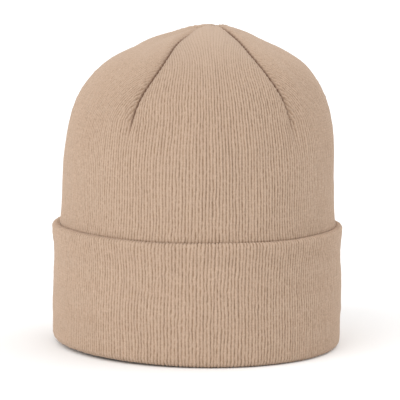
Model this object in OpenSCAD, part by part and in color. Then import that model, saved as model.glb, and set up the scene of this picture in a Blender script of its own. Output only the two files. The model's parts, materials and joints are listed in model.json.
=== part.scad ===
// Cuffed double-layer knit beanie, standing on its lower fold.
// Frame: origin under the middle of the hat on the surface it stands on, +Z up, the front faces -Y.
// Left is -X and right is +X. Lengths are in millimetres and angles in degrees.

/* [Hat] */
// Height from the lower fold to the top of the crown
hat_h = 196; // [185:1:215]
// Width of the shell across the sides, without the cuff
shell_w = 168; // [156:1:186]
// Depth from front to back divided by the width
depth_ratio = 1.18; // [1.05:0.01:1.25]
/* [Cuff] */
// Height of the turned-up cuff
cuff_h = 74; // [60:1:84]
// Free space between the wall and the cuff
cuff_gap = 1.2; // [0.4:0.1:2.0]
/* [Knit] */
// Thickness of the outer knit layer
shell_ply = 2.0; // [1.6:0.1:2.2]
// Thickness of the inner knit layer
lining_ply = 1.8; // [1.4:0.1:2.0]
// Free space between two layers of cloth that slide on each other
slip = 0.4; // [0.3:0.05:0.5]
/* [Crown] */
// Height at which the wall starts to close in
wall_h = 75; // [70:1:90]
// Sideways lean of the crown tip, to the right
crown_lean = 9; // [0:1:10]
// How far the crown tip lies behind the middle
crown_back = 9; // [0:1:10]
// Depth of the hollow in which the darts meet
dimple_depth = 1.6; // [0:0.1:2]
// How far the left lobe sags beside the tip
left_sag = 1.7; // [0:0.1:2]
// Depth of the crease along each dart seam
crease_depth = 2.5; // [1.5:0.1:2.6]
// Half the angle that the front and the back lobe take up in the crown
front_lobe = 38; // [36:1:45]
// Angle by which the crown is turned on the head, to the right
crown_turn = 1.3; // [0:0.1:4]
/* [Care label] */
// Width of the folded label
label_w = 30; // [20:1:34]
// Length of the label's free part, below its stitches
label_l = 38; // [25:1:45]

/* [Hidden] */

// Colours
knit_colour = [0.76, 0.64, 0.55];
lining_colour = [0.72, 0.60, 0.51];
thread_colour = [0.66, 0.53, 0.43];
label_colour = [0.94, 0.93, 0.90];

// Columns and rows of the cloth surfaces
columns = 72;
column_angles = [for (i = [0:columns - 1]) 360 * i / columns];
crown_rows = [6, 12, 18, 24, 31, 38, 46, 54, 62, 69, 76, 82, 87];

// The crown's side view is a superellipse: the first power squares the shoulder, the second points the tip.
shoulder_power = 4.15;
tip_power = 1.5;

// The tip is drawn in by this share, and its curve would end this far above hat_h without its hollow.
tip_draw = 0.28;
tip_lift = 2.4;
dimple_size = 6.3;
lean_power = 2.8;

// How far the side lobes lean to the right, and the angle by which the front and back lobes widen at the tip
side_shift = 2.8;
lobe_spread = 22;

// The four darts, as crown angles: 0 is the top of the wall and 90 the tip.
dart_columns = [45, 135, 225, 315];
dart_foot = 14;
dart_ramp = 12;
seam_from = 26;
seam_to = 76;
seam_rows = [for (i = [0:10]) seam_from + (seam_to - seam_from) * i / 10];

// Layers, from the shell's outer face inwards
seat = 0.2;
half_w = shell_w / 2;
half_d = half_w * depth_ratio;
lining_inset = shell_ply + slip;
crown_space = 5.8;

// Turned-in cloth edges of a dart seam, and the thread around them
seam_h = 2.4;
seam_w = 1.6;
thread_w = 0.4;
seam_side = 1.9;
seam_seat = 0.55;

// Cuff layers, outwards from the shell's outer face
cuff_ply = 2.0;
cuff_core = 1.8;
core_out = cuff_gap + cuff_core;
cuff_out = core_out + seat + cuff_ply;
roll = (cuff_out - cuff_gap) / 2;
wall_in = lining_inset + lining_ply;
fold_in = 3;
fold_out = 3.6;
wall_foot = cuff_ply + cuff_core + 2 * seat;

// Care label and stitches
label_t = 0.8;
label_gap = 0.2;
label_top = 96;
label_set = 2.5;
tab_h = 4;
label_y = half_d - wall_in - label_set - label_t;
stitch_r = 0.3;

// ---- Shape of the hat ----

function smooth(x) = let (c = max(0, min(1, x))) c * c * (3 - 2 * c);

// Share of the wall's half width, and of the crown's height, at a crown angle
function crown_width(t) = pow(cos(t), 2 / tip_power) * (1 - tip_draw * smooth((t - 38) / 45));
function crown_rise(t) = pow(sin(t), 2 / shoulder_power);

// The darts draw in the front and back lobes, so the columns between them bunch up.
function drawn(t) = smooth((t - dart_foot) / dart_ramp);
function dart_angle(t) = 45 - (45 - front_lobe) * drawn(t) + lobe_spread * smooth((t - 45) / 36);
function lobe_angle(column, t) =
    let (
        lobe = round(column / 90),
        half = lobe % 2 == 0 ? dart_angle(t) : 90 - dart_angle(t)
    )
    90 * lobe + (column - 90 * lobe) * half / 45 + crown_turn * drawn(t);

// How far the cloth is drawn inwards at a dart, and beside it
function crease(column, t) =
    let (from_dart = 45 - abs(column - 90 * round(column / 90)))
    crease_depth * drawn(t) * exp(-from_dart / 6) * min(1, 4 * crown_width(t));

// A point on the surface that lies inset below the shell's outer face
function crown_point(column, t, inset, creased = 1) =
    let (
        a = lobe_angle(column, t),
        drawn_in = creased * crease(column, t),
        w = (half_w - inset) * crown_width(t) - drawn_in,
        d = (half_d - inset) * crown_width(t) - drawn_in,
        leaning = crown_lean * pow(t / 90, lean_power),
        shift = side_shift * pow(sin(a), 4) * smooth(t / 36) * smooth((90 - t) / 32),
        hollow = dimple_depth * exp(-pow(half_w * crown_width(t) / dimple_size, 2)),
        sag = left_sag * pow(max(0, -sin(a)), 2) * smooth((t - 27) / 27) * smooth((88 - t) / 22),
        rise = (hat_h + tip_lift - inset - wall_h) * crown_rise(t)
    )
    [w * sin(a) + leaning + shift, crown_back * pow(t / 90, 3) - d * cos(a), wall_h + rise - hollow - sag];

// A point on the upright wall
function wall_point(angle, out, z) = [(half_w + out) * sin(angle), -(half_d + out) * cos(angle), z];

// The lining leaves the shell in the crown, where the turned-in seams lie between them.
function lining_at(t) = lining_inset + crown_space * smooth((t - 2) / 26);

// ---- Solids from rings of points ----

// Two triangles for each side of a strip between two rings of n points that start at a and b
function strip(a, b, n) = [
    for (i = [0:n - 1])
        let (j = (i + 1) % n)
        each [[a + i, b + i, b + j], [a + i, b + j, a + j]]
];

function turned(faces) = [for (f = faces) [f[2], f[1], f[0]]];

// A closed cap of cloth: both lists hold rings from the rim upwards and each ends with its tip point.
module cloth_cap(outer, inner) {
    n = len(outer[0]);
    rings = len(outer) - 1;
    outer_tip = n * rings;
    start = outer_tip + 1;
    points = [
        for (k = [0:rings - 1]) each outer[k],
        outer[rings],
        for (k = [0:rings - 1]) each inner[k],
        inner[rings],
    ];
    sides = [for (k = [0:rings - 2]) each strip(n * k, n * (k + 1), n)];
    top = [for (i = [0:n - 1]) [n * (rings - 1) + i, outer_tip, n * (rings - 1) + (i + 1) % n]];
    skin = concat(sides, top);
    faces = concat(skin, turned([for (f = skin) f + [start, start, start]]), strip(start, 0, n));
    polyhedron(points, faces, convexity = 6);
}

// A closed band around the wall: the profile's points are [outwards, up], anticlockwise.
module cloth_band(profile) {
    n = len(profile);
    points = [for (a = column_angles, p = profile) wall_point(a, p[0], p[1])];
    faces = [for (c = [0:columns - 1]) each strip(n * c, n * ((c + 1) % columns), n)];
    polyhedron(points, turned(faces), convexity = 8);
}

// A closed strip swept through rings of points
module swept(rings) {
    n = len(rings[0]);
    last = len(rings) - 1;
    sides = [for (k = [0:last - 1]) each strip(n * k, n * (k + 1), n)];
    near_end = [for (i = [n - 1:-1:0]) i];
    far_end = [for (i = [0:n - 1]) n * last + i];
    polyhedron([for (r = rings) each r], concat(turned(sides), [near_end, far_end]), convexity = 6);
}

// Points of an arc in a profile, from one angle to another
function arc(centre, r, from, to, steps = 6) = [
    for (i = [0:steps])
        let (a = from + (to - from) * i / steps)
        centre + r * [cos(a), sin(a)]
];

// ---- Knit layers ----

module outer_shell() {
    function face(inset) = [
        [for (c = column_angles) wall_point(c, -inset, wall_foot)],
        [for (c = column_angles) wall_point(c, -inset, wall_h)],
        for (t = crown_rows) [for (c = column_angles) crown_point(c, t, inset)],
        crown_point(0, 90, inset),
    ];
    color(knit_colour) cloth_cap(face(0), face(shell_ply));
}

module lining() {
    function face(inset) = [
        [for (c = column_angles) wall_point(c, -lining_inset - inset, wall_foot)],
        [for (c = column_angles) wall_point(c, -lining_inset - inset, wall_h)],
        for (t = crown_rows) [for (c = column_angles) crown_point(c, t, lining_at(t) + inset, 0)],
        crown_point(0, 90, lining_at(90) + inset, 0),
    ];
    color(lining_colour) cloth_cap(face(0), face(lining_ply));
}

// The cuff's visible layer: it rolls over the top, and turns under the wall to meet the lining.
module cuff_outer_ply() {
    lip_out = -lining_inset;
    profile = concat(
        [[-wall_in, wall_foot - seat]],
        arc([fold_in - wall_in, fold_in], fold_in, 180, 270),
        arc([cuff_out - fold_out, fold_out], fold_out, 270, 360),
        arc([cuff_gap + roll, cuff_h - roll], roll, 0, 180, 10),
        [
            [core_out + seat, cuff_h - roll],
            [core_out + seat, cuff_ply],
            [lip_out, cuff_ply],
            [lip_out, wall_foot - seat],
        ]
    );
    color(knit_colour) cloth_band(profile);
}

// The layer hidden inside the cuff, which turns under the wall to meet the shell.
module cuff_inner_ply() {
    profile = [
        [seat - lining_inset, cuff_ply + seat],
        [core_out, cuff_ply + seat],
        [core_out, cuff_h - roll - seat],
        [cuff_gap, cuff_h - roll - seat],
        [cuff_gap, wall_foot - seat],
        [seat - lining_inset, wall_foot - seat],
    ];
    color(lining_colour) cloth_band(profile);
}

// ---- Dart seams between the layers ----

// A cross-section across a dart at crown angle t. Its points are [sideways, depth below the cloth face].
function seam_ring(column, t, face, creased, profile) =
    let (
        base = crown_point(column, t, face, creased),
        below = crown_point(column, t, face + 1, creased) - base,
        down = below / norm(below),
        a = lobe_angle(column, t),
        side = [cos(a) * half_w, sin(a) * half_d, 0],
        across = side / norm(side)
    )
    [for (p = profile) base + across * p[0] + down * p[1]];

// The seams grow from nothing at the dart's foot to their full height.
function seam_height(t) = seam_h * smooth((t - seam_from + 8) / 20);

function edge_profile(side, up, t) =
    let (h = up * seam_height(t), x = side * seam_side, s = side * up)
    [
        [x - s * seam_w / 2, up * seam_seat],
        [x + s * seam_w / 2, up * seam_seat],
        [x + s * seam_w / 2, up * seam_seat + h],
        [x - s * seam_w / 2, up * seam_seat + h],
    ];

function wrap_profile(side, up, t) =
    let (
        gap = 0.05,
        x = side * seam_side,
        s = side * up,
        inside = s * (seam_w / 2 + gap),
        outside = s * (seam_w / 2 + gap + thread_w),
        foot = up * (seam_seat + 0.3 * seam_height(t)),
        top = up * (seam_seat + seam_height(t) + gap)
    )
    [
        [x - outside, foot],
        [x - inside, foot],
        [x - inside, top],
        [x + inside, top],
        [x + inside, foot],
        [x + outside, foot],
        [x + outside, top + up * thread_w],
        [x - outside, top + up * thread_w],
    ];

// The shell's edges turn inwards and the lining's outwards, side by side.
module shell_seam(column) {
    rings = [for (t = seam_rows) seam_ring(column, t, shell_ply, 1, edge_profile(-1, 1, t))];
    color(knit_colour) swept(rings);
}

module shell_overlock(column) {
    rings = [for (t = seam_rows) seam_ring(column, t, shell_ply, 1, wrap_profile(-1, 1, t))];
    color(thread_colour) swept(rings);
}

module lining_seam(column) {
    rings = [for (t = seam_rows) seam_ring(column, t, lining_at(t), 0, edge_profile(1, -1, t))];
    color(lining_colour) swept(rings);
}

module lining_overlock(column) {
    rings = [for (t = seam_rows) seam_ring(column, t, lining_at(t), 0, wrap_profile(1, -1, t))];
    color(thread_colour) swept(rings);
}

// ---- Small sewn pieces ----

// A straight thread from a to b
module thread(a, b, r = stitch_r) {
    run = b - a;
    length = norm(run);
    translate(a)
        rotate([0, acos(run[2] / length), atan2(run[1], run[0])])
            cylinder(r = r, h = length, $fn = 24);
}

// Hand stitches that close the gap through which the hat was turned, on a dart of the lining
module turning_gap_stitches() {
    column = dart_columns[2];
    angles = [for (i = [0:8]) 36 + 3 * i];
    color(thread_colour)
        for (t = angles) {
            ring = seam_ring(column, t, lining_at(t) + lining_ply, 0, [[-1.3, 0.8], [1.3, 0.8]]);
            thread(ring[0], ring[1]);
        }
}

// Thread bar that ties the lining's tip to the shell's tip
module crown_tack() {
    top = crown_point(0, 90, shell_ply)[2] - seat;
    foot = crown_point(0, 90, lining_at(90), 0)[2] + seat;
    color(thread_colour)
        translate([crown_lean, crown_back, foot])
            cylinder(r = 0.9, h = top - foot, $fn = 32);
}

// Blank folded ribbon inside the back of the hat. Its top edge is sewn down and the rest hangs free,
// turning about the tab's lower front edge.
module ribbon(top, length) {
    color(label_colour)
        translate([-label_w / 2, label_y, top - length])
            cube([label_w, label_t, length]);
}

module care_label_tab() {
    ribbon(label_top, tab_h);
}

module care_label() {
    ribbon(label_top - tab_h - label_gap, label_l);
}

module care_label_stitches() {
    r = 0.25;
    y = label_y - r - 0.05;
    z = label_top - tab_h / 2;
    count = 9;
    pitch = (label_w - 4) / count;
    color(thread_colour)
        for (i = [0:count - 1]) {
            x = -label_w / 2 + 2 + pitch * (i + 0.15);
            thread([x, y, z], [x + 0.7 * pitch, y, z], r);
        }
}

// ---- Nodes ----

outer_shell();
lining();
cuff_outer_ply();
cuff_inner_ply();
shell_seam(dart_columns[0]);  // shell_seam_front_right
shell_seam(dart_columns[1]);  // shell_seam_back_right
shell_seam(dart_columns[2]);  // shell_seam_back_left
shell_seam(dart_columns[3]);  // shell_seam_front_left
shell_overlock(dart_columns[0]);  // shell_overlock_front_right
shell_overlock(dart_columns[1]);  // shell_overlock_back_right
shell_overlock(dart_columns[2]);  // shell_overlock_back_left
shell_overlock(dart_columns[3]);  // shell_overlock_front_left
lining_seam(dart_columns[0]);  // lining_seam_front_right
lining_seam(dart_columns[1]);  // lining_seam_back_right
lining_seam(dart_columns[2]);  // lining_seam_back_left
lining_seam(dart_columns[3]);  // lining_seam_front_left
lining_overlock(dart_columns[0]);  // lining_overlock_front_right
lining_overlock(dart_columns[1]);  // lining_overlock_back_right
lining_overlock(dart_columns[2]);  // lining_overlock_back_left
lining_overlock(dart_columns[3]);  // lining_overlock_front_left
turning_gap_stitches();
crown_tack();
care_label_tab();
care_label_stitches();
care_label();
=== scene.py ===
"""Looks of a cuffed double-layer hat in fine 1x1 rib knit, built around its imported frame.

Shapes are worked out in millimetres and turned into metres when a mesh is made. The front faces -Y.
Wales are the knit's upright columns of stitches, courses its rows. A point of the cloth is placed by `arc`,
the length along the wall's ellipse from the front centre, or by the ellipse's angle there, and by `up`, the
length along the cloth from the table over the crown to the tip.
"""

import json
import math

import bpy
import numpy as np
from mathutils import Matrix, Vector


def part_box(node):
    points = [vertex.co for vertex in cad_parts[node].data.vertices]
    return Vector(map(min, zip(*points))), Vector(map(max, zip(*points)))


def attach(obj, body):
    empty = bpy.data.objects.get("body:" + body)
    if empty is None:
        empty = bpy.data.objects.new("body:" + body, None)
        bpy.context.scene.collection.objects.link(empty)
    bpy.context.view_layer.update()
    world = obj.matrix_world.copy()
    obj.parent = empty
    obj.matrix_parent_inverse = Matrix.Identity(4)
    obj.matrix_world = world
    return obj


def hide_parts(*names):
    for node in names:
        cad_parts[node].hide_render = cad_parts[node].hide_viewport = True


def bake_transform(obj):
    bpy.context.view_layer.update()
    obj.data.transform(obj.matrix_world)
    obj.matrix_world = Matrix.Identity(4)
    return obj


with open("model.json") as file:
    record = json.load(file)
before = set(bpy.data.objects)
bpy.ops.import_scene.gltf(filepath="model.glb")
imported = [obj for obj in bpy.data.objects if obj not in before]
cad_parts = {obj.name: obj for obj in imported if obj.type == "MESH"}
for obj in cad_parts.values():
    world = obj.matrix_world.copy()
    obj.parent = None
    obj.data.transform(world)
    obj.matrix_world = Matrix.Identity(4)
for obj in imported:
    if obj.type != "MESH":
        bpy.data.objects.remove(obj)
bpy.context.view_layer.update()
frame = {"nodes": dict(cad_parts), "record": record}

MM = 0.001
TAU = 2 * math.pi


# ---- Sizes from the frame ----

def box_mm(node):
    low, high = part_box(node)
    return np.array(low) / MM, np.array(high) / MM


shell_low, shell_high = box_mm("outer_shell")
_, lining_high = box_mm("lining")
_, cuff_high = box_mm("cuff_outer_ply")
core_low, core_high = box_mm("cuff_inner_ply")
_, tab_high = box_mm("care_label_tab")
label_low, label_high = box_mm("care_label")

HALF_W = shell_high[0]
HALF_D = shell_high[1]
WALL_FOOT = shell_low[2]
CUFF_H = cuff_high[2]
CUFF_OUT = cuff_high[0] - HALF_W
CORE_OUT = core_high[0] - HALF_W
LINING_INSET = HALF_W - lining_high[0]

# Values of the CAD part that its frame doesn't hold
WALL_H = 75.0
SHOULDER_POWER = 4.15
TIP_POWER = 1.5
TIP_DRAW = 0.28
CROWN_LEAN = 9.0
LEAN_POWER = 2.8
CROWN_BACK = 9.0
SIDE_SHIFT = 2.8
CROWN_SPACE = 5.8
SHELL_PLY = 2.0
LINING_PLY = 1.8
CUFF_GAP = 1.2

# The crown, where it looks a little different from the CAD part's
PEAK_H = 199.4
CROWN_TURN = math.radians(2.0)
DIMPLE_DEPTH = 3.2
DIMPLE_SIZE = 7.5
LEFT_SAG = 2.9
RIGHT_SAG = 1.5
LOBE_SPREAD = math.radians(15)
LOBE_PINCH = math.radians(6.5)

# The darts. Their creases begin a little below their foot. A reach is how far an effect carries sideways
FOOT_ANGLE = math.radians(17)
DART_LEAD_IN = 20
DART_ONSET = 26
CREASE_DEPTH = 1.9
CREASE_REACH = 4.8
GROOVE_REACH = 1.5
PUCKER_HEIGHT = 0.35
PUCKER_REACH = 4
PUCKER_PITCH = 3.7
# How far the painted shade along a dart's crease carries to each side
SHADE_REACH = 0.88

# The knit
WALES = 288
FRONT_WALES = 58
SIDE_WALES = WALES // 2 - FRONT_WALES
STEPS = 4
COLUMNS = WALES * STEPS
COURSE = 1.5
RIB_DEPTH = 0.68
RIB_MIDDLE = 0.62
STITCH_HEIGHT = 0.08
STITCH_SLANT = 1.6

# The cuff, the rims at its lower fold, and the wall's bulge over its edge
ROLL_GAP = 0.5
FOLD_IN = 3.0
FOLD_OUT = 3.6
SEAT = 0.2
RIM_DROP = 0.25
HEM_LIFT = 2.0
SLUMP = 1.4

# The caps' grids. The crown's rows draw closer together towards the darts, and the hidden face is coarser
CROWN_ROWS = 46
ROW_POWER = 1.75
BACK_COLUMNS = 96
BACK_RIM = 0.6

# The label's ribbon
RIBBON = 0.22
RIBBON_INSET = 0.16
RIBBON_LOOP = 0.62


# ---- Helpers ----

def smooth(x):
    """A soft S from 0 at 0 to 1 at 1, level outside"""
    x = np.clip(x, 0.0, 1.0)
    return x * x * (3 - 2 * x)


def ramp(x, start, length):
    """Climbs softly from 0 at `start` to 1 a `length` further"""
    return smooth((x - start) / length)


def fade(x, end, length):
    """Falls softly from 1 to 0 over the `length` before `end`"""
    return smooth((end - x) / length)


def bell(x, middle, reach):
    """1 at the middle, next to nothing beyond twice the reach"""
    return np.exp(-((x - middle) / reach) ** 2)


def waves(seed, x, y, size, count=9):
    """Soft irregular noise about as large as 1, with features about `size` across"""
    rng = np.random.default_rng(seed)
    total = np.zeros(np.broadcast(x, y).shape)
    for _ in range(count):
        heading, phase, stretch = rng.uniform(0, TAU), rng.uniform(0, TAU), rng.uniform(0.6, 1.6)
        total += np.sin((x * math.cos(heading) + y * math.sin(heading)) * stretch * TAU / size + phase)
    return total / math.sqrt(count)


def lengths_along(path):
    """The way along a path from its start to each of its points"""
    return np.concatenate([[0], np.cumsum(np.linalg.norm(np.diff(path, axis=0), axis=1))])


# ---- The hat's form ----

def ellipse_table():
    """Length along the wall's ellipse from the front centre, and the matching angle"""
    angle = np.linspace(0, TAU, 14401)
    speed = np.hypot(HALF_W * np.cos(angle), HALF_D * np.sin(angle))
    step = (speed[1:] + speed[:-1]) / 2 * np.diff(angle)
    return np.concatenate([[0], np.cumsum(step)]), angle


ARC, ARC_ANGLE = ellipse_table()
AROUND = ARC[-1]
PITCH = AROUND / WALES
TURN_ARC = CROWN_TURN * HALF_W


def angle_at(arc):
    """The ellipse's angle at a length along it from the front centre"""
    turns = np.floor(arc / AROUND)
    return np.interp(arc - turns * AROUND, ARC, ARC_ANGLE) + turns * TAU


def profile_table():
    """The crown's side view: length up the cloth, share of the full width, share of the rise, and climb,
    which is an angle of 0 where the crown starts and a quarter turn at its tip."""
    climb = math.pi / 2 * np.linspace(0, 1, 6001) ** 2.4
    width = np.maximum(np.cos(climb), 0) ** (2 / TIP_POWER)
    width *= 1 - TIP_DRAW * ramp(np.degrees(climb), 38, 45)
    rise = np.sin(climb) ** (2 / SHOULDER_POWER)
    radius = (HALF_W + HALF_D) / 2
    step = np.hypot(np.diff(width) * radius, np.diff(rise) * (PEAK_H - WALL_H))
    return WALL_H + np.concatenate([[0], np.cumsum(step)]), width, rise, climb


UP, UP_WIDTH, UP_RISE, UP_CLIMB = profile_table()
UP_TIP = UP[-1]
UP_FOOT = float(np.interp(FOOT_ANGLE, UP_CLIMB, UP))
FOOT_WIDTH = float(np.interp(UP_FOOT, UP, UP_WIDTH))
UP_NARROWING = np.gradient(UP_WIDTH, UP) / FOOT_WIDTH


def form(angle, up, inset):
    """Points of the smooth hat. `inset` is the depth below the shell's outer face."""
    width = np.interp(up, UP, UP_WIDTH)
    rise = np.interp(up, UP, UP_RISE)
    climb = np.degrees(np.interp(up, UP, UP_CLIMB))
    spread = LOBE_SPREAD * ramp(climb, 48, 38) - LOBE_PINCH * bell(climb, 43, 15)
    angle = angle + spread * np.sin(2 * angle)
    lean = CROWN_LEAN * (climb / 90) ** LEAN_POWER
    shift = SIDE_SHIFT * np.sin(angle) ** 4 * smooth(climb / 36) * fade(climb, 90, 32)
    hollow = DIMPLE_DEPTH * np.exp(-(width * HALF_W / DIMPLE_SIZE) ** 2)
    left = np.maximum(-np.sin(angle), 0)
    right = np.maximum(np.sin(angle), 0)
    sag = LEFT_SAG * left ** 2 * ramp(climb, 30, 30) * fade(climb, 90, 14)
    sag += RIGHT_SAG * right ** 2 * ramp(climb, 34, 14) * fade(climb, 86, 32)
    x = (HALF_W - inset) * width * np.sin(angle) + lean + shift
    y = -(HALF_D - inset) * width * np.cos(angle) + CROWN_BACK * (climb / 90) ** 3
    z = np.where(up < WALL_H, up, WALL_H + (PEAK_H - inset - WALL_H) * rise) - hollow - sag
    return np.stack([x, y, z], -1)


def form_normal(angle, up):
    """Outward normals of the smooth hat"""
    up = np.minimum(up, UP_TIP - 0.8)
    around = form(angle + 0.002, up, 0) - form(angle - 0.002, up, 0)
    upward = form(angle, up + 0.4, 0) - form(angle, up - 0.4, 0)
    normal = np.cross(around, upward)
    return normal / np.linalg.norm(normal, axis=-1, keepdims=True)


def lining_depth(up):
    """How deep the lining's outer face lies. In the crown it leaves room for the seams."""
    climb = np.degrees(np.interp(up, UP, UP_CLIMB))
    return LINING_INSET + CROWN_SPACE * ramp(climb, 2, 26)


# ---- Meshes ----

def uncollapsed(faces):
    """Faces without joined corners: a quad with one joined edge turns into a triangle, others are dropped"""
    corners = faces.shape[1]
    same = np.stack([faces[:, i] == faces[:, (i + 1) % corners] for i in range(corners)], -1)
    joined = np.sum(same, axis=1)
    kept = [faces[joined == 0]]
    if corners == 4:
        kept += [np.delete(faces[(joined == 1) & same[:, i]], i, axis=1) for i in range(4)]
    return kept


def unrepeated(groups):
    """Groups of faces without those that have the same corners as an earlier face"""
    keys = np.full((sum(len(group) for group in groups), 4), -1)
    ends = np.cumsum([len(group) for group in groups])
    for group, end in zip(groups, ends):
        keys[end - len(group):end, :group.shape[1]] = np.sort(group, axis=1)
    kept = np.zeros(len(keys), bool)
    kept[np.unique(keys, axis=0, return_index=True)[1]] = True
    return [group[part] for group, part in zip(groups, np.split(kept, ends[:-1]))]


def new_mesh(name, points, faces, material, attributes=None):
    """A mesh object from points in millimetres. Points in the same place are joined."""
    same_place = 0.0007
    points = np.asarray(points, float)
    keys = np.round(points / same_place).astype(np.int64)
    _, first, where = np.unique(keys, axis=0, return_index=True, return_inverse=True)
    where = where.reshape(-1)
    clean = unrepeated([kept for group in faces for kept in uncollapsed(where[np.asarray(group)])])
    sizes = np.concatenate([np.full(len(c), c.shape[1]) for c in clean])
    loops = np.concatenate([c.reshape(-1) for c in clean])
    starts = np.concatenate([[0], np.cumsum(sizes)[:-1]])
    mesh = bpy.data.meshes.new(name)
    mesh.vertices.add(len(first))
    mesh.vertices.foreach_set("co", (points[first] * MM).astype(np.float32).reshape(-1))
    mesh.loops.add(len(loops))
    mesh.loops.foreach_set("vertex_index", loops.astype(np.int32))
    mesh.polygons.add(len(sizes))
    mesh.polygons.foreach_set("loop_start", starts.astype(np.int32))
    mesh.polygons.foreach_set("loop_total", sizes.astype(np.int32))
    mesh.polygons.foreach_set("use_smooth", np.full(len(sizes), True))
    for key, values in (attributes or {}).items():
        layer = mesh.attributes.new(key, "FLOAT", "POINT")
        layer.data.foreach_set("value", np.asarray(values, np.float32)[first])
    mesh.update(calc_edges=True)
    mesh.validate()
    mesh.materials.append(material)
    obj = bpy.data.objects.new(name, mesh)
    bpy.context.scene.collection.objects.link(obj)
    return obj


def grid_faces(start, rows, columns, wrap=False, flip=False):
    """Quads of a grid whose points are stored row by row, seen from outside when columns run to the right"""
    r = np.arange(rows - 1)[:, None]
    c = np.arange(columns if wrap else columns - 1)[None, :]
    d = (c + 1) % columns
    quads = np.stack(np.broadcast_arrays(
        start + r * columns + c, start + r * columns + d,
        start + (r + 1) * columns + d, start + (r + 1) * columns + c,
    ), -1).reshape(-1, 4)
    return quads[:, ::-1] if flip else quads


def ring_faces(lower, upper, flip=False):
    """Quads between two closed rings with the same number of points"""
    quads = np.stack([lower, np.roll(lower, -1), np.roll(upper, -1), upper], -1)
    return quads[:, ::-1] if flip else quads


def fan_faces(fine, coarse, flip=False):
    """Triangles between a closed ring of many points and one of fewer, both starting at the same place"""
    ratio = len(fine) // len(coarse)
    middle = ratio // 2
    faces = []
    for i in range(len(coarse)):
        here, after = coarse[i], coarse[(i + 1) % len(coarse)]
        for k in range(ratio):
            a, b = fine[i * ratio + k], fine[(i * ratio + k + 1) % len(fine)]
            faces.append((a, b, here if k < middle else after))
            if k == middle:
                faces.append((a, after, here))
    faces = np.array(faces)
    return faces[:, ::-1] if flip else faces


def zip_faces(points, right, left, flip=False):
    """Triangles that join two lobes' edges from the dart's foot up to the tip"""
    faces, i, k = [], 0, 0
    high_r, high_l = points[right][:, 2], points[left][:, 2]
    while i < len(right) - 1 or k < len(left) - 1:
        if k == len(left) - 1 or (i < len(right) - 1 and high_r[i + 1] <= high_l[k + 1]):
            faces.append((right[i], left[k], right[i + 1]))
            i += 1
        else:
            faces.append((right[i], left[k], left[k + 1]))
            k += 1
    faces = np.array(faces)
    return faces[:, ::-1] if flip else faces


# ---- The cloth's surface ----

def wale_offset(wale):
    """Distance from the middle of the nearest wale, from 0 on the rib to 0.5 in the furrow"""
    return np.abs(wale - np.round(wale))


def knit_values(wale, course, arc, seam):
    """What the knit's material reads at each point, in step with the points. The last is the painted shade
    along the darts' creases.
    """
    across = np.mod(arc + AROUND / 2, AROUND)
    values = {"rib": wale, "course": course, "across": across, "seam": seam}
    return {key: np.broadcast_to(value, arc.shape).reshape(-1) for key, value in values.items()}


def rib_relief(offset, arc, up, seed, freedom=1.0):
    """Height of the ribs about the cloth's face. Where `freedom` is above 0 they are uneven, as yarn is."""
    rib = np.sqrt(np.maximum(0.5 + 0.5 * np.cos(TAU * offset), 0))
    uneven = 1 + freedom * (0.5 * waves(seed, arc, up * 0.5, 3.9) + 0.16 * waves(seed + 1, arc, up * 0.5, 13))
    stitch = STITCH_HEIGHT * np.sin(TAU * (up / COURSE + STITCH_SLANT * offset)) * rib
    return RIB_DEPTH * np.maximum(uneven, 0.1) * (rib - RIB_MIDDLE) + stitch


def sway(arc, up, seed):
    """Sideways wander of the wales"""
    slow = 0.30 * waves(seed, arc * 0.8, up * 0.35, 26) + 0.12 * waves(seed + 1, arc, up * 0.5, 8)
    return slow + 0.17 * waves(seed + 2, arc, up * 0.5, 4.3)


def head_circle(angle):
    """Places on a circle about as large as a head, on which noise joins up around the hat"""
    radius = 90
    return radius * np.sin(angle), radius * np.cos(angle)


def swell(angle, up, seed):
    """Slow swelling of the cloth over the head, slight under the cuff and none at the tip"""
    x, y = head_circle(angle)
    swelling = 0.5 * waves(seed, x, up + 0.6 * y, 75) + 0.22 * waves(seed + 1, x - 0.5 * y, up, 34)
    return swelling * fade(up, UP_TIP, 20) * (0.3 + 0.7 * ramp(up - CUFF_H, 4, 30))


def slump(up):
    """How far the wall bulges over the cuff's rolled edge, just above it"""
    over = up - CUFF_H
    return SLUMP * ramp(over, -3.0, 3.8) * np.exp(-np.maximum(over - 0.6, 0) / 6)


def dart_onset(up):
    """How fully the darts show, from 0 in the wall to 1 in the crown"""
    return ramp(up - UP_FOOT, -DART_LEAD_IN, DART_ONSET)


def dart_distance(along, half, up):
    """Distance to the nearest dart, square to it. A dart slants across the wales where its lobe narrows."""
    slant = np.interp(up, UP, UP_NARROWING) * half
    return (half - np.abs(along)) * np.interp(up, UP, UP_WIDTH) / np.sqrt(1 + slant ** 2)


def dart_pucker(distance, up, seed):
    """Small ripples across a dart, pulled up by its stitches"""
    phase = TAU * up / PUCKER_PITCH + 1.3 * waves(seed, up, 0 * up, 11)
    return PUCKER_HEIGHT * dart_onset(up) * np.exp(-distance / PUCKER_REACH) * np.sin(phase)


def painted_dart_shade(distance, up, x):
    """How much painted shade lies along a dart's crease: its line fades out below its foot, and it is fainter
    there on the right
    """
    above = up - UP_FOOT
    foot_shade = 0.71 - 0.15 * np.tanh(x / 20)
    dark = foot_shade + (1 - foot_shade) * ramp(above, 4, 22)
    return dart_onset(up) * dark * np.exp(np.minimum(above, 0) / 11) * bell(distance, 0, SHADE_REACH)


def side_fold(distance, up):
    """The side lobes' soft fold along their darts, a ridge and then a hollow"""
    fold = 0.8 * bell(distance, 11, 6) - 0.4 * bell(distance, 26, 9)
    return fold * dart_onset(up) * smooth(distance / 5) * ramp(UP_TIP - up, 12, 30)


# ---- The caps: each is the cloth of a whole hat, without its cuff ----

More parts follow.
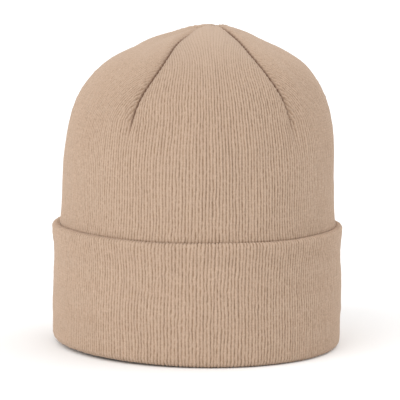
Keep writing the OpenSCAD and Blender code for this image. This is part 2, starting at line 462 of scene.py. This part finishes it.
LOBES = [
    (0.0, FRONT_WALES),
    (AROUND / 4, SIDE_WALES),
    (AROUND / 2, FRONT_WALES),
    (AROUND * 3 / 4, SIDE_WALES),
]
SEAM_ARCS = [
    TURN_ARC + turn * AROUND / 2 + side * FRONT_WALES * PITCH / 2
    for turn in (0, 1) for side in (-1, 1)
]

# Heights of the wall's rows, which lie closer together where the wall bulges over the cuff
WALL_ROWS = np.concatenate([
    np.linspace(WALL_FOOT, CUFF_H - 8, 9),
    CUFF_H + np.array([-4.5, -2.9, -2.0, -1.2, -0.5, 0.2, 1.0, 2.0, 3.5, 5.5, 8.5, 12.5]),
    np.linspace(CUFF_H + 17, UP_FOOT, 8),
])


def lobe_grid(wales):
    """Each column's offset from the lobe's middle line, and the length up the cloth at each point.

    The wall's rows are level. In the crown a column ends where its wale runs out at a dart.
    """
    steps = np.arange(-wales * STEPS // 2, wales * STEPS // 2 + 1)
    offset = steps * PITCH / STEPS
    share = np.abs(offset) / (wales * PITCH / 2)
    end = np.interp(-FOOT_WIDTH * share, -UP_WIDTH, UP)
    end[share >= 1] = UP_FOOT
    wall = WALL_ROWS[:, None] * np.ones_like(offset)
    left = (1 - np.arange(CROWN_ROWS + 1) / CROWN_ROWS) ** ROW_POWER
    crown = end - (end - UP_FOOT) * left[:, None]
    return offset, np.concatenate([wall, crown[1:]])


def knit_lobe(centre, wales, depth, side, groove, seed):
    """One lobe's grid of points, and what the knit's material reads at them.

    The wales stay parallel and run out at the darts. A lobe has an even number of them, so that a furrow
    runs up its middle.
    """
    half = wales * PITCH / 2
    offset, up = lobe_grid(wales)
    width = np.interp(up, UP, UP_WIDTH)
    gather = np.where(up > UP_FOOT, FOOT_WIDTH / np.maximum(width, 1e-9), 1)
    along = np.clip(offset * gather, -half, half)
    arc = centre + TURN_ARC + along
    distance = dart_distance(along, half, up)
    angle = angle_at(arc + sway(arc, up, seed) * smooth(distance / 5))
    base = form(angle, up, depth(up))
    normal = form_normal(angle, up)

    onset = dart_onset(up)
    below_tip = fade(up, UP_TIP, 14)
    cut = groove * onset * bell(distance, 0, GROOVE_REACH) * (0.25 + 0.75 * below_tip)
    wale = wale_offset(offset / PITCH + 0.5)
    relief = rib_relief(wale, arc, up, seed + 3, smooth(distance / 3))
    relief *= np.where(up > UP_FOOT, smooth(0.3 + distance / 1.2), 1.0)
    relief *= 0.22 + 0.78 * ramp(UP_TIP - up, 10, 95)
    puff = swell(angle, up, seed + 5)
    if wales == SIDE_WALES:
        edge = onset * below_tip * bell(distance, 2.6, 1.7) * smooth(distance / 0.8)
        relief = relief * (1 + 0.9 * edge)
        puff = puff + side_fold(distance, up) + 0.5 * edge
    if side > 0:
        level = np.hypot(normal[..., 0], normal[..., 1])
        crease = CREASE_DEPTH * onset * np.exp(-distance / CREASE_REACH) * np.maximum(level, 0.6) * below_tip
        puff = puff - (crease - slump(up))
    lift = (puff + side * (relief + dart_pucker(distance, up, seed + 9) - cut)) * fade(up, UP_TIP, 1.5)
    points = base + normal * lift[..., None]
    # The last value is the painted shade along the darts' creases
    return points, knit_values(wale, up, arc, painted_dart_shade(distance, up, points[..., 0]))


def knit_cap(depth, side, groove, seed):
    """A cap's visible face, from the foot of its wall to its tip: points, faces, values and its foot's ring.

    `depth` gives the face's depth below the shell's outer face, and `side` is 1 where the ribs stand
    outwards and -1 where they stand inwards.
    """
    points, faces, parts, foot, right_edges, left_edges = [], [], [], [], [], []
    count = 0
    for centre, wales in LOBES:
        lobe, lobe_values = knit_lobe(centre, wales, depth, side, groove, seed)
        rows, columns = lobe.shape[:2]
        index = count + np.arange(rows * columns).reshape(rows, columns)
        points.append(lobe.reshape(-1, 3))
        faces.append(grid_faces(count, rows, columns, flip=side < 0))
        parts.append(lobe_values)
        foot.append(index[0, :-1])
        middle = columns // 2
        left_edges.append(index[-1, :middle + 1])
        right_edges.append(index[-1, middle:][::-1])
        count += rows * columns
    points = np.concatenate(points)
    for right, left in zip(right_edges, left_edges[1:] + left_edges[:1]):
        faces.append(zip_faces(points, right, left, flip=side < 0))
    values = {key: np.concatenate([part[key] for part in parts]) for key in parts[0]}
    return points, faces, values, np.concatenate(foot)


def seam_dip(arc, up):
    """Extra depth of the shell's hidden face along the darts, where the visible face is creased"""
    apart = np.abs((arc[:, None] - np.array(SEAM_ARCS)[None, :] + AROUND / 2) % AROUND - AROUND / 2)
    across = np.min(apart, axis=1)[None, :] * np.interp(up, UP, UP_WIDTH) / FOOT_WIDTH
    return 3.4 * fade(across, 20, 12) * ramp(up - UP_FOOT, -16, 14)


def back_points(depth, side):
    """The hidden face's plain grid, with its rows closer together towards the tip"""
    wall = np.linspace(WALL_FOOT + BACK_RIM, UP_FOOT, 12)
    crown = UP_TIP - (UP_TIP - UP_FOOT) * (1 - np.linspace(0, 1, 16)[1:-1]) ** 1.5
    arc = SEAM_ARCS[0] + np.arange(BACK_COLUMNS) * AROUND / BACK_COLUMNS
    angle, up = np.broadcast_arrays(angle_at(arc)[None, :], np.concatenate([wall, crown])[:, None])
    return form(angle, up, depth(up) + (seam_dip(arc, up) if side > 0 else 0))


def backed(points, faces, values, foot, visible, hidden, side):
    """Closes a cap with a plain hidden face, joined to the visible one by a rounded rim at its foot.

    `visible` and `hidden` give the two faces' depths.
    """
    fine_arc = SEAM_ARCS[0] + np.arange(COLUMNS) * PITCH / STEPS
    rim = form(angle_at(fine_arc), np.full(COLUMNS, WALL_FOOT), (hidden(WALL_FOOT) + visible(WALL_FOOT)) / 2)
    rim[:, 2] = WALL_FOOT - RIM_DROP
    back = back_points(hidden, side)
    tip = form(np.zeros(1), np.full(1, UP_TIP), hidden(np.full(1, UP_TIP)))
    count = len(points)
    points = np.concatenate([points, rim, back.reshape(-1, 3), tip])
    rim_ring = count + np.arange(COLUMNS)
    back_start = count + COLUMNS
    rows, columns = back.shape[:2]
    first_ring = back_start + np.arange(columns)
    last_ring = first_ring + (rows - 1) * columns
    cap = np.stack([last_ring, np.roll(last_ring, -1), np.full(columns, len(points) - 1)], -1)
    faces = faces + [
        ring_faces(rim_ring, foot, flip=side < 0),
        fan_faces(rim_ring, first_ring, flip=side > 0),
        grid_faces(back_start, rows, columns, wrap=True, flip=side > 0),
        cap[:, ::-1] if side > 0 else cap,
    ]
    plain = np.zeros(len(points) - count)
    return points, faces, {key: np.concatenate([part, plain]) for key, part in values.items()}


# ---- Materials ----

def node(tree, kind, **settings):
    made = tree.nodes.new(kind)
    for key, value in settings.items():
        setattr(made, key, value)
    return made


def feed(tree, socket, value):
    """Sets a socket to a number or a colour, or links it to an output"""
    if isinstance(value, (int, float)):
        socket.default_value = value
    elif isinstance(value, tuple):
        socket.default_value = (*value, 1.0)
    else:
        tree.links.new(value, socket)


def maths(tree, operation, a, *others):
    """The same operation with each of the others in turn"""
    for b in others:
        made = node(tree, "ShaderNodeMath", operation=operation)
        feed(tree, made.inputs[0], a)
        feed(tree, made.inputs[1], b)
        a = made.outputs[0]
    return a


def ripple(tree, value, pitch):
    """The sine of a value, with one turn for each `pitch`"""
    made = node(tree, "ShaderNodeMath", operation="SINE")
    feed(tree, made.inputs[0], maths(tree, "MULTIPLY", value, TAU / pitch))
    return made.outputs[0]


def remap(tree, value, low, high, to_low=0.0, to_high=1.0):
    made = node(tree, "ShaderNodeMapRange")
    for key, number in (
            ("Value", value), ("From Min", low), ("From Max", high), ("To Min", to_low), ("To Max", to_high)):
        feed(tree, made.inputs[key], number)
    return made.outputs["Result"]


def noise(tree, vector, scale, detail=2.0, roughness=0.5):
    made = node(tree, "ShaderNodeTexNoise")
    for key, value in (("Scale", scale), ("Detail", detail), ("Roughness", roughness), ("Vector", vector)):
        feed(tree, made.inputs[key], value)
    return made.outputs["Fac"]


def mix_colour(tree, factor, a, b, blend="MIX"):
    made = node(tree, "ShaderNodeMix", data_type="RGBA", blend_type=blend)
    for key, value in (("Factor", factor), (6, a), (7, b)):
        feed(tree, made.inputs[key], value)
    return made.outputs[2]


def attribute(tree, name):
    return node(tree, "ShaderNodeAttribute", attribute_name=name).outputs["Fac"]


def object_place(tree):
    return node(tree, "ShaderNodeTexCoord").outputs["Object"]


def add_bump(tree, shader, height, strength, distance):
    bump = node(tree, "ShaderNodeBump")
    for key, value in (("Strength", strength), ("Distance", distance), ("Height", height)):
        feed(tree, bump.inputs[key], value)
    feed(tree, shader.inputs["Normal"], bump.outputs["Normal"])


def new_material(name, roughness, specular=0.25, sheen=0.0, sheen_roughness=0.5, sheen_tint=(1, 1, 1)):
    material = bpy.data.materials.new(name)
    material.use_nodes = True
    tree = material.node_tree
    shader = tree.nodes["Principled BSDF"]
    for key, value in (
            ("Roughness", roughness), ("Specular IOR Level", specular), ("Sheen Weight", sheen),
            ("Sheen Roughness", sheen_roughness), ("Sheen Tint", sheen_tint)):
        feed(tree, shader.inputs[key], value)
    return material, tree, shader


def knit_material(name, crest, furrow_shade_colour):
    """Fine rib knit. The mesh carries each point's place in the cloth and how much painted shade it takes
    near a dart's crease.
    """
    material, tree, shader = new_material(
        name, roughness=0.95, specular=0.1, sheen=0.2, sheen_roughness=0.55, sheen_tint=(1.0, 0.9, 0.8))
    place = object_place(tree)
    rib, course = attribute(tree, "rib"), attribute(tree, "course")
    # Each stitch is a V: its two legs climb away from the wale's middle
    slant = maths(tree, "MULTIPLY", rib, STITCH_SLANT)
    leg = ripple(tree, maths(tree, "ADD", maths(tree, "DIVIDE", course, COURSE), slant), 1)
    stitch = maths(tree, "MULTIPLY", leg, remap(tree, rib, 0.34, 0.12))
    twist = noise(tree, place, 2600, roughness=0.6)
    fuzz = noise(tree, place, 900, detail=4.0, roughness=0.65)
    cloudy = noise(tree, place, 22)
    # The yarn's unevenness follows the cloth, and is drawn out along its wales
    cloth = node(tree, "ShaderNodeCombineXYZ")
    feed(tree, cloth.inputs["X"], attribute(tree, "across"))
    feed(tree, cloth.inputs["Y"], maths(tree, "MULTIPLY", course, 0.5))
    yarn = noise(tree, cloth.outputs[0], 1.5, roughness=0.6)
    shifted = node(tree, "ShaderNodeMapping")
    shifted.inputs["Location"].default_value = (700.0, 300.0, 0.0)
    feed(tree, shifted.inputs["Vector"], cloth.outputs[0])
    patchy = noise(tree, shifted.outputs[0], 0.8, roughness=0.6)
    # The furrows between the ribs are painted darker as shade, in some patches more than in others, and
    # hardly so near the tip
    depth = maths(
        tree, "MULTIPLY", remap(tree, rib, 0.18, 0.5), remap(tree, patchy, 0.36, 0.64, 0.25, 1.4),
        remap(tree, course, UP_TIP - 92, UP_TIP - 22, 1.0, 0.15))
    # The tone varies at random with the yarn and its fuzz, and the stitch term paints a faint highlight and
    # shade along each stitch's legs
    tone = maths(
        tree, "ADD", remap(tree, yarn, 0.3, 0.7, 0.88, 1.10), remap(tree, cloudy, 0.3, 0.7, -0.01, 0.01),
        maths(tree, "MULTIPLY", stitch, 0.04), remap(tree, fuzz, 0.3, 0.7, -0.03, 0.03))
    grey = node(tree, "ShaderNodeCombineColor")
    for socket in grey.inputs:
        feed(tree, socket, tone)
    # The crest colour goes over to the furrows' painted shade, then takes the yarn's tone
    colour = mix_colour(tree, 1.0, mix_colour(tree, depth, crest, furrow_shade_colour), grey.outputs[0], "MULTIPLY")
    # Painted shade along the darts' creases, mixed in as a dark brown
    crease_shade_mix = remap(tree, attribute(tree, "seam"), 0.2, 0.85, 0.0, 0.85)
    feed(tree, shader.inputs["Base Color"], mix_colour(tree, crease_shade_mix, colour, PAINTED_CREASE_SHADE))
    shares = ((stitch, 0.55), (twist, 0.5), (fuzz, 0.7), (yarn, 1.6))
    height = maths(tree, "ADD", *[maths(tree, "MULTIPLY", part, share) for part, share in shares])
    add_bump(tree, shader, height, strength=0.55, distance=0.00022)
    return material


def thread_material(name, colour):
    material, tree, shader = new_material(name, roughness=0.6, specular=0.3, sheen=0.15)
    fibre = noise(tree, object_place(tree), 2200, detail=3.0, roughness=0.6)
    dark = tuple(0.72 * c for c in colour)
    feed(tree, shader.inputs["Base Color"], mix_colour(tree, remap(tree, fibre, 0.3, 0.7), dark, colour))
    add_bump(tree, shader, fibre, strength=0.5, distance=0.0001)
    return material


def ribbon_material(name, colour):
    """Satin ribbon: fine threads both ways, soft patches and a slight shine"""
    material, tree, shader = new_material(name, roughness=0.42, specular=0.4, sheen=0.25)
    place = object_place(tree)
    split = node(tree, "ShaderNodeSeparateXYZ")
    feed(tree, split.inputs[0], place)
    weft = ripple(tree, split.outputs["Z"], 0.00035)
    warp = ripple(tree, split.outputs["X"], 0.00022)
    weave = maths(tree, "ADD", maths(tree, "MULTIPLY", weft, 0.7), maths(tree, "MULTIPLY", warp, 0.3))
    cloudy = noise(tree, place, 120, detail=3.0, roughness=0.6)
    tone = maths(tree, "ADD", remap(tree, cloudy, 0.3, 0.7, 0.0, 0.7), remap(tree, weave, -1, 1, 0.0, 0.3))
    dark = tuple(0.9 * c for c in colour)
    feed(tree, shader.inputs["Base Color"], mix_colour(tree, tone, dark, colour))
    add_bump(tree, shader, weave, strength=0.3, distance=0.00005)
    return material


# The dark brown painted as shade along the darts' creases
PAINTED_CREASE_SHADE = (0.125, 0.060, 0.032)
# Each knit's crest colour, then its darker furrow colour, which paints the shade between the ribs
KNIT = knit_material("knit", (0.478, 0.346, 0.256), (0.290, 0.190, 0.122))
LINING_KNIT = knit_material("lining_knit", (0.450, 0.325, 0.241), (0.265, 0.178, 0.123))
THREAD = thread_material("thread", (0.42, 0.28, 0.19))
LABEL_RIBBON = ribbon_material("label_ribbon", (0.86, 0.84, 0.80))


# ---- The hat's layers ----


def make_cap(name, cad_node, material, visible, hidden, side, groove, seed):
    points, faces, values, foot = knit_cap(visible, side, groove, seed)
    points, faces, values = backed(points, faces, values, foot, visible, hidden, side)
    obj = new_mesh(name, points, faces, material, values)
    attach(obj, "hat_body")
    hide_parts(cad_node)
    return obj


def make_outer_knit():
    obj = make_cap(
        "outer_knit", "outer_shell", KNIT,
        visible=lambda up: 0.0 * up, hidden=lambda up: SHELL_PLY + 0.0 * up,
        side=1, groove=1.3, seed=11)


def make_inner_knit():
    obj = make_cap(
        "inner_knit", "lining", LINING_KNIT,
        visible=lambda up: lining_depth(up) + LINING_PLY, hidden=lining_depth,
        side=-1, groove=0.9, seed=41)


def cuff_swell(angle, height, seed):
    """The cuff's soft unevenness, with its top edge flaring a little"""
    x, y = head_circle(angle)
    flare = 0.7 * ramp(height, 0.8 * CUFF_H, 0.16 * CUFF_H)
    hollow = -0.5 * bell(height, 0.72 * CUFF_H, 14)
    return flare + hollow + 0.35 * waves(seed, x, height * 1.4 + 0.4 * y, 70)


def edge_wave(angle, height, seed):
    """The folded top edge isn't quite level"""
    x, y = head_circle(angle)
    return 0.45 * waves(seed, x, y, 95) * ramp(height, 0.5 * CUFF_H, 0.5 * CUFF_H)


def hem_lift(angle, height):
    """The lower fold rises off the table a little at the left"""
    left = np.maximum(-np.sin(angle), 0)
    return HEM_LIFT * left ** 1.1 * (1 - smooth(height / 24))


def knit_band(name, profile, ribbed, material, seed):
    """A closed band around the wall. The profile's points are (outwards, up) and run anticlockwise;
    `ribbed` is 1 where ribs stand out fully and 0 on hidden stretches."""
    profile = np.asarray(profile, float)
    tangent = np.roll(profile, -1, 0) - np.roll(profile, 1, 0)
    tangent /= np.linalg.norm(tangent, axis=1, keepdims=True)
    out, rise = tangent[:, 1], -tangent[:, 0]
    columns = np.arange(COLUMNS)
    arc, course, height = np.broadcast_arrays(
        TURN_ARC + columns * PITCH / STEPS, lengths_along(profile)[:, None], profile[:, 1][:, None])
    wale = wale_offset(columns / STEPS)
    angle = angle_at(arc + sway(arc, height * 1.4, seed))
    lift = rib_relief(wale, arc, course, seed + 2) * ribbed[:, None]
    puff = cuff_swell(angle, height, seed + 5) * smooth(profile[:, 0] / CUFF_OUT * 1.4 - 0.2)[:, None]
    outwards = profile[:, 0][:, None] + lift * out[:, None] + puff
    z = height + lift * rise[:, None] + edge_wave(angle, height, seed + 7) + hem_lift(angle, height)
    x = (HALF_W + outwards) * np.sin(angle)
    y = -(HALF_D + outwards) * np.cos(angle)
    points = np.stack([x, y, z], -1).reshape(-1, 3)
    rows = len(profile)
    faces = [grid_faces(0, rows, COLUMNS, wrap=True), ring_faces((rows - 1) * COLUMNS + columns, columns)]
    return new_mesh(name, points, faces, material, knit_values(wale, course, arc, 0.0))


def arc_points(centre, radius, start, stop, steps):
    turn = np.radians(np.linspace(start, stop, steps + 1))
    return np.stack([centre[0] + radius * np.cos(turn), centre[1] + radius * np.sin(turn)], -1)


def make_cuff():
    """From the lip under the wall round the lower fold, up outside, over the rolled top and down inside"""
    roll = (CUFF_OUT - ROLL_GAP) / 2
    roll_h = CUFF_H - roll
    wall_in = LINING_INSET + LINING_PLY
    lip_h = WALL_FOOT - SEAT - RIM_DROP
    inner_fold = arc_points((FOLD_IN - wall_in, FOLD_IN), FOLD_IN, 180, 270, 6)
    outer_fold = arc_points((CUFF_OUT - FOLD_OUT, FOLD_OUT), FOLD_OUT, 270, 360, 7)
    face = [(CUFF_OUT, z) for z in np.linspace(FOLD_OUT, roll_h, 22)[1:-1]]
    top = arc_points((ROLL_GAP + roll, roll_h), roll, 0, 180, 10)
    inside = CORE_OUT + SEAT
    back = [(inside, roll_h - 1.5), (inside, CUFF_H / 2), (inside, SHELL_PLY),
            (-LINING_INSET, SHELL_PLY), (-LINING_INSET, lip_h)]
    profile = np.concatenate([[(-wall_in, lip_h)], inner_fold, outer_fold, face, top, back])
    ribbed = np.ones(len(profile))
    ribbed[0] = 0.3
    ribbed[-len(back) - 2:-len(back)] = 0.3
    ribbed[-len(back):] = 0
    obj = knit_band("cuff_knit", profile, ribbed, KNIT, seed=71)
    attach(obj, "cuff")
    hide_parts("cuff_outer_ply")


def make_cuff_back():
    """The cuff's inner layer, which shows its lining side when the cuff is turned down"""
    roll_room = 0.9
    low, high = core_low[2], core_high[2] - roll_room
    under, foot = -LINING_INSET + SEAT, WALL_FOOT - SEAT
    outside = [(under, low), (CORE_OUT, low), (CORE_OUT, high)]
    inside = [(CUFF_GAP, z) for z in np.linspace(high, foot, 14)]
    profile = np.array(outside + inside + [(under, foot)])
    ribbed = np.zeros(len(profile))
    ribbed[len(outside) + 1:-2] = 0.3
    obj = knit_band("cuff_lining_knit", profile, ribbed, LINING_KNIT, seed=91)
    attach(obj, "cuff")
    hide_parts("cuff_inner_ply")


# ---- Threads ----

def tube(path, radius, twist=1.1, sides=8):
    """Points and faces of a two-ply thread along a path, tapering at its ends"""
    run = np.gradient(path, axis=0)
    run /= np.linalg.norm(run, axis=1, keepdims=True)
    guide = np.array([0.0, 0.0, 1.0]) if abs(run[len(run) // 2][2]) < 0.9 else np.array([1.0, 0.0, 0.0])
    first = np.cross(run, guide)
    first /= np.linalg.norm(first, axis=1, keepdims=True)
    second = np.cross(run, first)
    along = lengths_along(path)
    ends = np.minimum(along, along[-1] - along)
    thick = radius * (0.35 + 0.65 * smooth(ends / (1.6 * radius)))
    turn = TAU * np.arange(sides) / sides
    ply = 1 + 0.2 * np.cos(2 * (turn[None, :] - TAU * along[:, None] / (2 * twist)))
    reach = (thick[:, None] * ply)[..., None]
    around = first[:, None] * np.cos(turn)[None, :, None] + second[:, None] * np.sin(turn)[None, :, None]
    points = (path[:, None] + reach * around).reshape(-1, 3)
    end = np.array([(0, i, i + 1) for i in range(1, sides - 1)])
    last = (len(path) - 1) * sides
    return points, [grid_faces(0, len(path), sides, wrap=True), end[:, ::-1], last + end]


def make_threads(name, cad_node, paths, radius):
    points, faces, count = [], [], 0
    for path in paths:
        more, shapes = tube(path, radius)
        points.append(more)
        faces += [shape + count for shape in shapes]
        count += len(more)
    obj = new_mesh(name, np.concatenate(points), faces, THREAD)
    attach(obj, "hat_body")
    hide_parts(cad_node)


def stitch_path(start, end, outwards, bulge, dive, steps=14):
    """A stitch lies on the cloth along its middle and goes into it at both ends"""
    t = np.linspace(0, 1, steps + 1)
    lift = bulge * np.sin(math.pi * t) ** 0.5 - dive * (1 - np.sin(math.pi * t)) ** 3
    return start + (end - start) * t[:, None] + outwards * lift[:, None]


def make_label_stitches():
    rng = np.random.default_rng(5)
    low, high = box_mm("care_label_stitches")
    count, reach = 9, high[0] - low[0]
    pitch = reach / (count - 0.3)
    height, face = (low[2] + high[2]) / 2, high[1] - 0.1
    paths = []
    for i in range(count):
        left = low[0] + pitch * i
        tilt = rng.uniform(-0.12, 0.12)
        start = np.array([left, face, height - tilt])
        end = np.array([left + 0.7 * pitch, face, height + tilt])
        paths.append(stitch_path(start, end, np.array([0.0, -1.0, 0.0]), bulge=0.12, dive=0.45))
    make_threads("label_stitches", "care_label_stitches", paths, radius=0.22)


def make_gap_stitches():
    """Hand stitches across the lining's back left dart, inside the hat"""
    rng = np.random.default_rng(6)
    half_length = 1.5
    angle = angle_at(np.array([SEAM_ARCS[3]]))
    paths = []
    for climb in range(36, 61, 3):
        up = np.interp([math.radians(climb)], UP_CLIMB, UP)
        depth = lining_depth(up) + LINING_PLY
        base = form(angle, up, depth)[0]
        normal = form_normal(angle, up)[0]
        aside = form(angle + 0.01, up, depth)[0] - base
        aside /= np.linalg.norm(aside)
        lean = rng.uniform(-0.25, 0.25) * np.cross(aside, normal)
        start, end = base - half_length * aside - lean, base + half_length * aside + lean
        paths.append(stitch_path(start, end, -normal, bulge=0.45, dive=0.7))
    make_threads("gap_stitches", "turning_gap_stitches", paths, radius=0.3)


def make_tack():
    """Three strands that tie the lining's tip to the shell's tip"""
    low, high = box_mm("crown_tack")
    middle = (low + high) / 2
    strands, turns, coil = 3, 0.8, 0.45
    t = np.linspace(0, 1, 25)
    paths = []
    for strand in range(strands):
        turn = TAU * (strand / strands + turns * t)
        x, y = middle[0] + coil * np.cos(turn), middle[1] + coil * np.sin(turn)
        paths.append(np.stack([x, y, low[2] + (high[2] - low[2]) * t], -1))
    make_threads("tack_strands", "crown_tack", paths, radius=0.36)


# ---- The label ----

def label_path():
    """The folded ribbon's middle line as (y, z), from the back layer's top round the fold to the front's"""
    front, back = label_low[1] + RIBBON_INSET, label_high[1] - RIBBON_INSET
    top, foot = tab_high[2], label_low[2]
    heights = np.linspace(top, foot + RIBBON_LOOP, 30)
    fold = np.radians(np.linspace(0, 180, 13))[1:-1]
    opening = (RIBBON_LOOP - (back - front) / 2) * fade(heights, foot + 14, 13)
    middle = (front + back) / 2
    y = np.concatenate([back + opening, middle + RIBBON_LOOP * np.cos(fold), (front - opening)[::-1]])
    z = np.concatenate([heights, foot + RIBBON_LOOP - RIBBON_LOOP * np.sin(fold), heights[::-1]])
    curl = np.maximum(label_high[2] - z, 0) / (label_high[2] - label_low[2])
    return np.stack([y - 1.5 * curl ** 2, z], -1)


def make_label():
    """Blank ribbon, folded at its foot and sewn down along its top"""
    path = label_path()
    columns = 17
    run = np.gradient(path, axis=0)
    run /= np.linalg.norm(run, axis=1, keepdims=True)
    out = np.stack([run[:, 1], -run[:, 0]], -1)
    across = np.linspace(label_low[0], label_high[0], columns)
    edge = 1 - 0.25 * (np.abs(across) > label_high[0] - 0.5)
    sag = 0.25 * np.sin(across / 5 + 0.6)[None, :] * fade(path[:, 1], label_high[2], 20)[:, None]
    sides = []
    for side in (1, -1):
        y = path[:, 0][:, None] + side * RIBBON / 2 * out[:, 0][:, None] * edge + sag
        z = path[:, 1][:, None] + side * RIBBON / 2 * out[:, 1][:, None] * edge
        sides.append(np.stack([across[None, :] + 0 * y, y, z], -1))
    rows = len(path)
    count = rows * columns
    points = np.concatenate([part.reshape(-1, 3) for part in sides])
    index = np.arange(count).reshape(rows, columns)
    border = np.concatenate([index[0, :-1], index[:-1, -1], index[-1, :0:-1], index[:0:-1, 0]])
    faces = [
        grid_faces(0, rows, columns, flip=True),
        grid_faces(count, rows, columns),
        ring_faces(border, border + count),
    ]
    obj = new_mesh("label_loop", points, faces, LABEL_RIBBON)
    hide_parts("care_label", "care_label_tab")
    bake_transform(obj)


def carry_over():
    """CAD nodes whose shape is right keep it and get the finished materials"""
    finishes = {"knit": KNIT, "lining_knit": LINING_KNIT, "thread": THREAD, "label_ribbon": LABEL_RIBBON}
    for part in frame["record"]["subparts"]:
        obj = frame["nodes"][part["node"]]
        for slot in obj.material_slots:
            slot.material = finishes[part["material_slot"]]


# ---- Stage ----

def make_floor():
    size = 6.0
    material, tree, shader = new_material("floor_white", roughness=0.9, specular=0.1)
    feed(tree, shader.inputs["Base Color"], (0.97, 0.97, 0.97))
    mesh = bpy.data.meshes.new("floor")
    corners = [(-size, -size, 0), (size, -size, 0), (size, size, 0), (-size, size, 0)]
    mesh.from_pydata(corners, [], [(0, 1, 2, 3)])
    mesh.materials.append(material)
    floor = bpy.data.objects.new("floor", mesh)
    floor.location.z = -0.0004
    bpy.context.scene.collection.objects.link(floor)


def make_world():
    """A soft grey studio, seen as plain white by the camera"""
    world = bpy.data.worlds.new("studio")
    world.use_nodes = True
    tree = world.node_tree
    seen = node(tree, "ShaderNodeLightPath").outputs["Is Camera Ray"]
    white, soft = (1.0, 1.0, 1.0), (0.86, 0.86, 0.86)
    feed(tree, tree.nodes["Background"].inputs["Color"], mix_colour(tree, seen, soft, white))
    bpy.context.scene.world = world


def sun_light(name, place, strength, softness):
    """Even light from a direction, as wide as a softbox seen from the hat"""
    data = bpy.data.lights.new(name, "SUN")
    data.energy = strength
    data.angle = math.radians(softness)
    light = bpy.data.objects.new(name, data)
    light.location = place
    light.rotation_euler = (-Vector(place)).to_track_quat("-Z", "Y").to_euler()
    bpy.context.scene.collection.objects.link(light)


def make_lights():
    sun_light("key", (-1.0, -1.0, 0.90), 1.44, 60)
    sun_light("fill", (1.0, -0.6, 0.8), 0.20, 80)
    sun_light("top", (0.85, 0.5, 1.0), 0.66, 70)


def make_camera():
    """A long lens from 2 m away, a little from the left and from above"""
    azimuth, elevation, roll = math.radians(-4.7), math.radians(6.8), math.radians(0.6)
    distance = 2.0
    aim = Vector((0.0015, 0, 0.088))
    level = math.cos(elevation)
    back = Vector((math.sin(azimuth) * level, -math.cos(azimuth) * level, math.sin(elevation)))
    data = bpy.data.cameras.new("camera")
    data.sensor_width = 36.0
    data.lens = 289.8
    data.clip_end = 100
    camera = bpy.data.objects.new("camera", data)
    turn = (-back).to_track_quat("-Z", "Y").to_matrix() @ Matrix.Rotation(roll, 3, "Z")
    camera.matrix_world = Matrix.Translation(aim + back * distance) @ turn.to_4x4()
    bpy.context.scene.collection.objects.link(camera)
    bpy.context.scene.camera = camera


make_camera()
make_floor()
make_world()
make_lights()
carry_over()
make_outer_knit()
make_inner_knit()
make_cuff()
make_cuff_back()
make_label_stitches()
make_gap_stitches()
make_tack()
make_label()
bpy.context.scene.view_settings.view_transform = "Standard"
